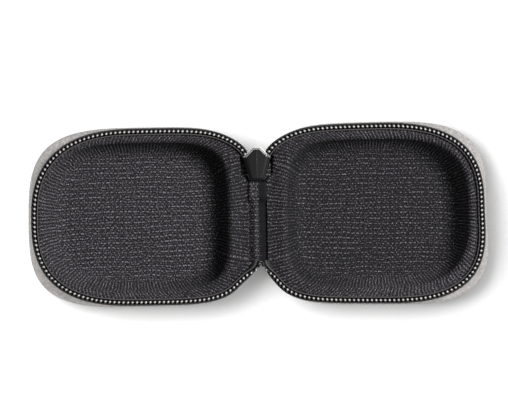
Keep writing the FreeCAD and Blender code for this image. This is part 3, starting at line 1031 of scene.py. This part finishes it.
def bottom_stop(material):
    """The crimp across both rows where the joined chain begins: a rounded staple."""
    low, high = [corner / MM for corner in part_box("chain_bottom_stop")]
    middle, half_size = (low + high) / 2, (high - low) / 2
    share = np.linspace(-1, 1, 21)
    swell = np.sqrt(np.maximum(1 - np.abs(share) ** 5, 0.04))
    centres = stacked(middle.x + half_size.x * share, middle.y,
                      middle.z - 0.12 * half_size.z * share ** 2)
    piece = crimp("chain_crimp", centres, ALONG, half_size.y * swell,
                  half_size.z * swell * 0.95, 0.5)
    settle(piece, "spine", "chain_bottom_stop", material)


def thread_runs(name, starts, ends):
    """Short thread runs, each dipping into the cloth at both ends."""
    runs = []
    for index, (start, end) in enumerate(zip(starts, ends)):
        share = np.linspace(0, 1, 9)[:, None]
        centres = start + (end - start) * share
        centres[:, 2] += 0.16 * np.sin(share[:, 0] * math.pi) - 0.1
        sections = tube(centres, np.cross(UP, end - start), THREAD_RADIUS, THREAD_RADIUS)
        length = np.linalg.norm(end - start)
        uv = stacked(share * length, np.linspace(0, 1, 9))
        runs.append(closed_mesh(name + "_" + str(index), sections, {"cloth": uv}))
    return joined(name, runs)


def rim_stitching(half, material):
    """The lockstitch round the flange, beside the tape."""
    angle = np.linspace(math.pi, -math.pi, 4000)
    line = splayed(rim(angle, 3.35, LINING_TOP), half)
    travel = travelled(line)
    begins = np.arange(0, travel[-1] - STITCH_PITCH, STITCH_PITCH)
    starts = read_along(begins, travel, line)
    ends = read_along(begins + STITCH, travel, line)
    kept = np.minimum(starts[:, 0], ends[:, 0]) > FLANGE_RAMP[1] - 1
    starts, ends = starts[kept], ends[kept]
    to_side = (half.side, 1, 1)
    piece = thread_runs(half.name("rim_thread"), starts * to_side, ends * to_side)
    settle(piece, half.body, half.name("rim_stitching"), material)


# The spine


def strip_height(x, y):
    """Top of the inner strip: a soft ridge left of the middle and a valley to its right."""
    ridge_x, left, right = -0.75, 3.1, 1.5
    width = np.where(x < ridge_x, left, right)
    ridge = np.cos(np.clip((x - ridge_x) / width, -1, 1) * math.pi / 2) ** 2
    slack = 0.12 * np.sin(y * 0.9 + 0.6) + 0.08 * np.sin(y * 2.3 + x)
    soft = SEAM_Z - STRIP_SUNK + (2.0 + slack) * ridge
    over_chain = SEAM_Z - STRIP_SUNK + 2.25 * (1 - smooth(2.7, 4.1, np.abs(x)))
    share = smooth(4.0, 7.0, y)
    return soft * (1 - share) + over_chain * share


def strip_half(name, side, top, bottom):
    """One side of a sewn strip, from the middle of the spine to its sewn edge."""
    y = np.linspace(SPINE_LOW, SPINE_HIGH, 90)[:, None]
    x = np.linspace(0, STRIP_REACH, 22) * side
    sections = slab(stacked(x, y, top(x, y)), stacked(x, y, bottom(x, y)))
    reach = travelled(sections.swapaxes(0, 1)).T
    uv = stacked(side * reach, sections[..., 1])
    if side < 0:
        sections = sections[:, ::-1]
        uv = uv[:, ::-1]
    # Painted shade in the valley right of the strip's ridge, where the flange beside it shades it.
    painted_shade = 0.5 + 3.2 * smooth(-0.2, 1.4, sections[..., 0])
    return closed_mesh(name, sections, {"cloth": wrapped(uv), "rim": wrapped(uv)},
                       {"floor_share": np.ones(sections.shape[:2]), "painted_shade": painted_shade})


def inner_strip(half, material):
    """One side of the knit strip over the spine, thinner towards both of its ends."""
    def top(x, y):
        end = np.minimum(smooth(SPINE_LOW, SPINE_LOW + 0.8, y),
                         1 - smooth(SPINE_HIGH - 0.8, SPINE_HIGH, y))
        rows = 0.05 * np.cos(2 * math.pi * y / (2 * KNIT_ROW))
        return strip_height(x, y) - 0.6 * (1 - end) + rows
    def bottom(x, y):
        return strip_height(x, y) - 0.75
    piece = strip_half(half.name("side_knit_strip"), half.side, top, bottom)
    half.bend(piece, "spine_inner_strip", material, "knit_lining")


def knit_flanks(material):
    """Knit beside the slider, on the spine: it fills the gap up to the lining while open."""
    y = np.linspace(SPINE_HIGH + 0.05, ROW_TOP_Y + 0.6, 48)[:, None]
    room, beyond = slider_room(y)
    low, narrowest, thickness = 0.9, 0.35, 0.15
    inner = beyond + 0.02
    reach = np.sqrt(np.maximum((room - 0.06) ** 2 - (low + 0.25) ** 2, 0))
    outer = np.maximum(reach, inner + narrowest)
    share = np.linspace(0, 1, 10)
    flanks = []
    for side in (1, -1):
        x = FOLD_X + inner + (outer - inner) * share
        upper = stacked(x, y, SEAM_Z - low - 0.1 * share)
        sections = slab(upper, upper - UP * thickness)
        uv = wrapped(sections[..., :2])
        # The flanks get a middling painted shade.
        flanks.append(closed_mesh("knit_flank_" + str(side), sections, {"cloth": uv, "rim": uv},
                                  {"floor_share": np.ones(sections.shape[:2]),
                                   "painted_shade": np.full(sections.shape[:2], 0.5)}, side < 0))
    piece = joined("knit_flanks", flanks)
    settle(piece, "spine", "spine_inner_strip", material)


def outer_strip(half, material):
    """One side of the cloth strip outside, with its edge turned down onto the shell."""
    def bottom(x, y):
        down = smooth(3.0, STRIP_REACH, np.abs(x))
        return SEAM_Z - 1.62 - 2.7 * down ** 2
    def top(x, y):
        return bottom(x, y) + 0.5
    piece = strip_half(half.name("side_cloth_strip"), half.side, top, bottom)
    half.bend(piece, "spine_outer_strip", material, "shell_fabric")


def filler(material):
    """The foam under the knit strip's ridge."""
    y = np.linspace(SPINE_LOW + 0.6, 6.2, 50)[:, None]
    x = np.linspace(-2.3, 2.3, 14)
    upper = stacked(x, y, strip_height(x, y) - 0.8)
    piece = closed_mesh("spine_foam_filler", slab(upper, stacked(x, y, SEAM_Z - 1.15)))
    settle(piece, "spine", "spine_filler", material)


def spine_threads(material):
    """Thread runs along both sewn edges of the knit strip."""
    for side, half in ((1, BASE), (-1, LID)):
        y = np.arange(SPINE_LOW + 0.8, SPINE_HIGH - STITCH, STITCH_PITCH)
        x = np.full(len(y), side * (STRIP_REACH - 0.6))
        starts = stacked(x, y, strip_height(x, y) + 0.02)
        ends = stacked(x, y + STITCH, strip_height(x, y + STITCH) + 0.02)
        piece = thread_runs(half.name("side_spine_thread"), starts, ends)
        half.bend(piece, "spine_stitching", material, "thread")


def joined_chain(material):
    """The two rows of coils meshed along the middle of the spine."""
    (_, start, _), (_, end, _) = corners_of("joined_chain")
    loops = int((end - start) / COIL_PITCH)
    rows = []
    for side in (1, -1):
        def place(travel, out, up, side=side):
            across = side * (2.9 - up * 0.98)
            return stacked(across, travel, SEAM_Z + COIL_CENTRE - out)
        offset = start + (COIL_PITCH / 2 if side < 0 else 0.2)
        sections, head = coil_sections(loops - 1, offset, place, lambda travel: ALONG)
        rows.append(closed_mesh("chain_row_" + str(side), sections, None, {"edge": head}))
    piece = joined("meshed_coils", rows)
    settle(piece, "spine", "joined_chain", material)


def even_paleness(ring):
    return np.ones(len(ring))


def nose_highlight(ring):
    """Most painted highlight on the slider's sloping shoulders."""
    shoulder = SLIDER_NOSE - SLIDER_POINT
    return 0.3 + 0.7 * smooth(shoulder - 0.2, shoulder + 0.6, ring[:, 1])


def loft_plate(name, corners, radius, levels, paleness=even_paleness, ridge=0.0):
    """A plate through levels of (height, inset, paleness) of one outline with rounded corners; the
    paleness and the ridge's value paint highlights.

    A height is a number, or a function of the outline's points.
    """
    def raised(ring):
        return stacked(*ring.T, z(ring) if callable(z) else z)
    rings, edges = [], []
    for z, inset, edge_paleness in levels:
        ring = rounded_outline(inset_corners(corners, inset), radius - inset)
        rings.append(raised(ring))
        edges.append(np.full(len(ring), edge_paleness) * paleness(ring))
    middle = np.mean([corner[0] for corner in corners])
    for share in (0.7, 0.4, 0.1, 0.01):
        closing = ring.copy()
        closing[:, 0] = middle + (ring[:, 0] - middle) * share
        rings.append(raised(closing))
        edges.append(np.full(len(ring), ridge if share < 0.1 else 0.0))
    return closed_mesh(name, np.stack(rings), None, {"edge": np.stack(edges)})


def inset_corners(corners, inset):
    """The corners of an outline whose sides are all moved inward by the same distance."""
    corners = np.array(corners, dtype=float)
    before = unit(corners - np.roll(corners, 1, axis=0))
    after = unit(np.roll(corners, -1, axis=0) - corners)
    inward = np.stack([-before[:, 1] - after[:, 1], before[:, 0] + after[:, 0]], -1)
    return corners + inward * inset / (1 + (before * after).sum(-1, keepdims=True))


def rounded_outline(corners, radius):
    """A closed outline with each corner turned into a short curve."""
    curve = np.linspace(0, 1, 6)
    radius = max(radius, SMALLEST_ROUND)
    points = []
    count = len(corners)
    for index in range(count):
        corner, following = np.array(corners[index]), np.array(corners[(index + 1) % count])
        ahead = unit(following - corner)
        start = corner + unit(np.array(corners[index - 1]) - corner) * radius
        end = corner + ahead * radius
        points += [start * (1 - share) ** 2 + corner * 2 * share * (1 - share) + end * share ** 2
                   for share in curve]
        side = following - ahead * radius - end
        points += [end + side * share for share in (0.25, 0.5, 0.75)]
    return np.array(points)


def slider_outline(inset):
    """A house: flat nose, sloping shoulders, and sides that taper to the tail."""
    right = [(NOSE_FLAT_HALF, SLIDER_NOSE - inset),
             (SLIDER_SHOULDER_HALF - inset, SLIDER_NOSE - SLIDER_POINT),
             (SLIDER_SHOULDER_HALF - 0.4 - inset, SLIDER_NOSE - 4.9),
             (SLIDER_TAIL_HALF, SLIDER_TAIL + 0.1)]
    left = [(-x, y) for x, y in reversed(right)]
    return (right + left)[::-1]


def slider_post():
    """The wedge between the plates that parts the two rows."""
    corners = [(-1.1, SLIDER_NOSE - 4.1), (0, SLIDER_NOSE - 6.9),
               (1.1, SLIDER_NOSE - 4.1), (0, SLIDER_NOSE - 0.8)]
    return loft_plate("post", corners, 0.2, [
        (SEAM_Z - CHANNEL_HALF, 0.0, 0.0), (SEAM_Z + CHANNEL_HALF, 0.0, 0.0)])


def slider_rails():
    """Two low rails on each plate, which hold the coils in."""
    rails = []
    ends = (SLIDER_TAIL + 0.4, SLIDER_NOSE - 8.6)
    for side in (-1, 1):
        outer, inner = side * RAIL_X + RAIL_HALF, side * RAIL_X - RAIL_HALF
        corners = [(outer, ends[0]), (outer, ends[1]), (inner, ends[1]), (inner, ends[0])]
        for low, high in ((SEAM_Z - CHANNEL_HALF, SEAM_Z - RAIL_GAP_HALF),
                          (SEAM_Z + RAIL_GAP_HALF, SEAM_Z + CHANNEL_HALF)):
            # The rails' edges get a weak painted highlight.
            rails.append(loft_plate("rail", corners, SMALLEST_ROUND, [
                (low, 0.05, 0.3), (low + 0.08, 0.0, 0.3),
                (high - 0.08, 0.0, 0.3), (high, 0.05, 0.3)]))
    return rails


def slider(material):
    """Two plates on a post, rails inside and a bridge; the upper plate plain, with a ridge."""
    top = SLIDER_TOP
    low = 2 * SEAM_Z - SLIDER_TOP
    def ridged(drop):
        return lambda ring: top - drop - 0.03 * np.abs(ring[:, 0])
    upper = slider_outline(0.12)
    # The third value of each level paints a highlight on that band of the plate; the ridge line
    # gets one too.
    plates = [loft_plate("upper_plate", upper, 0.18, [
        (SEAM_Z + 1.2, 0.12, 0.2), (SEAM_Z + 1.3, 0.0, 0.2),
        (ridged(0.6), 0.0, 0.8), (ridged(0.5), 0.04, 1.0), (ridged(0.38), 0.34, 1.0),
        (ridged(0.35), 0.4, 0.0), (ridged(0.3), 0.64, 0.0), (ridged(0.26), 0.68, 1.0),
        (ridged(0.06), 0.84, 1.0), (ridged(0.0), 0.94, 0.0)], nose_highlight, 0.4)]
    lower = slider_outline(0.2)
    plates.append(loft_plate("lower_plate", lower, 0.18, [
        (low, 0.35, 0.1), (low + 0.12, 0.08, 1.0), (low + 0.3, 0.0, 0.2),
        (SEAM_Z - 1.32, 0.0, 0.1), (SEAM_Z - 1.2, 0.12, 0.1)]))
    piece = joined("zip_slider", plates + [slider_post()] + slider_rails() + [bridge(low)])
    settle(piece, "spine", "slider_body", material)


def bridge(plate_z):
    """The arch that the pull hangs in, a bent bar of rounded section."""
    share = np.linspace(-1, 1, 41)
    y = PIVOT_Y + BRIDGE_REACH * signed_power(np.sin(share * math.pi / 2), 0.8)
    z = plate_z + 0.4 - BRIDGE_DROP * np.maximum(1 - np.abs(share) ** 5, 0) ** 0.6
    sections = tube(stacked(0.0, y, z), ACROSS, 1.08, 0.46, 16)
    edge = np.zeros(sections.shape[:2])
    # Painted highlights along two sides of the arch.
    edge[:, [0, 8]] = 0.7
    return closed_mesh("bridge", sections, None, {"edge": edge})


def pull_tab(material):
    """A flat tab with a rounded tip, a raised border and the bar that it turns on."""
    half_width = corners_of("pull_tab")[1][0]
    length, neck, thick, hanging = 20.0, 4.4, 0.62, math.radians(30)
    outline = [(-half_width, -length), (half_width, -length),
               (half_width, -neck), (-half_width, -neck)]
    # The third value of each level paints a highlight on the tab's border; the arms and the bar get
    # weaker ones.
    face = [(thick - 0.14, 0.0, 1.0), (thick, 0.16, 0.7), (thick, 0.42, 0.7),
            (thick * 0.62, 0.55, 0.1), (thick * 0.62, 0.62, 0.0)]
    back = [(-height, inset, edge_paleness) for height, inset, edge_paleness in reversed(face)]
    parts = [loft_plate("tab", outline, 0.9, back + face)]
    for side in (-1, 1):
        x = side * (half_width - 0.72)
        arm = stacked(x, [-4.9, -3.5, -1.8, -0.9, 0.0], 0.0)
        sections = tube(arm, ACROSS, 0.7, thick, 16)
        parts.append(closed_mesh("arm", sections, None, evenly_pale(sections, 0.35)))
    bar = stacked(np.linspace(-half_width, half_width, 13), 0.0, 0.0)
    radius = thick * np.sqrt(np.maximum(1 - np.abs(np.linspace(-1, 1, 13)) ** 14, 0.3))
    sections = tube(bar, UP, radius, radius, 16)
    parts.append(closed_mesh("bar", sections, None, evenly_pale(sections, 0.5)))
    piece = joined("pull_tag", parts)
    place = Matrix.Translation(Vector((0, PIVOT_Y, PIVOT_Z)) * MM)
    piece.data.transform(place @ Matrix.Rotation(hanging, 4, "X"))
    settle(piece, "pull", "pull_tab", material)


# Surroundings


def floor_sheet():
    """A square sheet of paper just under the case."""
    half_side, below, count = 1.2, 0.0002, 13
    steps = np.linspace(-half_side, half_side, count)
    points = [(x, y, -below) for y in steps for x in steps]
    corners = [row * count + column for row in range(count - 1) for column in range(count - 1)]
    faces = [(at, at + 1, at + count + 1, at + count) for at in corners]
    mesh = bpy.data.meshes.new("floor")
    mesh.from_pydata(points, [], faces)
    piece = new_object("floor", mesh)
    mesh.materials.append(floor_material())
    return piece


def soft_light(name, toward, lit, distance, size, power):
    """A square lamp that faces the case from a direction and lights one collection."""
    lamp = bpy.data.lights.new(name, "AREA")
    lamp.size = size
    lamp.energy = power
    made = new_object(name, lamp)
    made.location = Vector(toward).normalized() * distance
    made.rotation_mode = "QUATERNION"
    made.rotation_quaternion = Vector(toward).to_track_quat("Z", "Y")
    made.light_linking.receiver_collection = lit


def lit_pieces(name, pieces):
    """A collection that a lamp is linked to."""
    made = bpy.data.collections.new(name)
    for piece in pieces:
        made.objects.link(piece)
    return made


def lamps(floor):
    """Two lamps for the floor alone, one from the upper right for the case, one for its shells."""
    backdrop = lit_pieces("backdrop", [floor])
    case = lit_pieces("case", [floor])
    case.collection_objects[0].light_linking.link_state = "EXCLUDE"
    soft_light("backdrop_lamp", (-0.47, 0.20, 0.86), backdrop, distance=2.2, size=1.1, power=42.0)
    soft_light("backdrop_fill", (0.0, 0.1, 1.0), backdrop, distance=2.0, size=2.6, power=34.0)
    soft_light("case_lamp", (0.55, 0.22, 0.78), case, distance=2.0, size=0.7, power=64.0)
    shells = [bpy.data.objects[half.name("cloth_shell")] for half in (BASE, LID)]
    soft_light("skirt_lamp", (-0.75, -0.35, 0.5), lit_pieces("skirts", shells),
               distance=2.0, size=1.0, power=42.0)


def room():
    """Weak light from all round, with a plain white ground behind everything."""
    world = bpy.data.worlds.new("studio")
    world.use_nodes = True
    tree = world.node_tree
    around = tree.nodes["Background"]
    around.inputs["Strength"].default_value = 0.22
    ground = tree.nodes.new("ShaderNodeBackground")
    choice = tree.nodes.new("ShaderNodeMixShader")
    ray = tree.nodes.new("ShaderNodeLightPath")
    tree.links.new(ray.outputs["Is Camera Ray"], choice.inputs[0])
    for slot, light in ((1, around), (2, ground)):
        light.inputs["Color"].default_value = (1, 1, 1, 1)
        tree.links.new(light.outputs[0], choice.inputs[slot])
    tree.links.new(choice.outputs[0], tree.nodes["World Output"].inputs[0])
    bpy.context.scene.world = world
    bpy.context.scene.view_settings.view_transform = "Standard"


def camera():
    """Nearly straight above, a little from the left and the front, from far away."""
    from_left, from_front, roll = math.radians(1.5), math.radians(0.5), math.radians(-1)
    distance, lens_to_distance, nearest = 1.15, 0.1907, 0.01
    aim = Vector((-0.00135, 0.0056, 0.0178))
    back = Vector((-math.sin(from_left), -math.sin(from_front), 1)).normalized()
    data = bpy.data.cameras.new("camera")
    data.lens = lens_to_distance * distance / MM
    data.clip_start = nearest
    made = new_object("camera", data)
    made.rotation_mode = "QUATERNION"
    right = Vector((1, 0, 0))
    right = (right - back * right.dot(back)).normalized()
    up = back.cross(right)
    turned = Matrix((right, up, back)).transposed() @ Matrix.Rotation(roll, 3, "Z")
    made.rotation_quaternion = turned.to_quaternion()
    made.location = aim + back * distance
    bpy.context.scene.camera = made


# Splay: direction and width in degrees of each length of rim, and how far it stands out, or in
BASE = Half("base", mirrored=False, row_reach=1.8, phase=0.0, painted_shade_weight=1.15,
            splay=[(38, 30, 0.9), (-42, 28, 2.4), (90, 45, 0.6), (-90, 40, 0.6)])
LID = Half("lid", mirrored=True, row_reach=3.6, phase=COIL_PITCH / 2, painted_shade_weight=0.6,
           splay=[(40, 25, -0.8)])


def main():
    camera()
    knit, heather, tape = knit_material(), heather_material(), tape_material()
    nylon, thread = nylon_material(), thread_material()
    metal, foam = metal_material(), foam_material()
    for half in (BASE, LID):
        outer_skin(half, heather)
        lining(half, knit)
        row = Row(half)
        zip_coil(half, row, nylon)
        zip_cord(half, row, thread)
        zip_tape(half, row, tape)
        chain_stop(half, row, metal)
        rim_stitching(half, thread)
        inner_strip(half, knit)
        outer_strip(half, heather)
        core = frame["nodes"][half.name("foam_core")].data
        core.materials.clear()
        core.materials.append(foam)
    bottom_stop(metal)
    knit_flanks(knit)
    filler(foam)
    spine_threads(thread)
    joined_chain(nylon)
    slider(metal)
    pull_tab(metal)
    lamps(floor_sheet())
    room()


main()
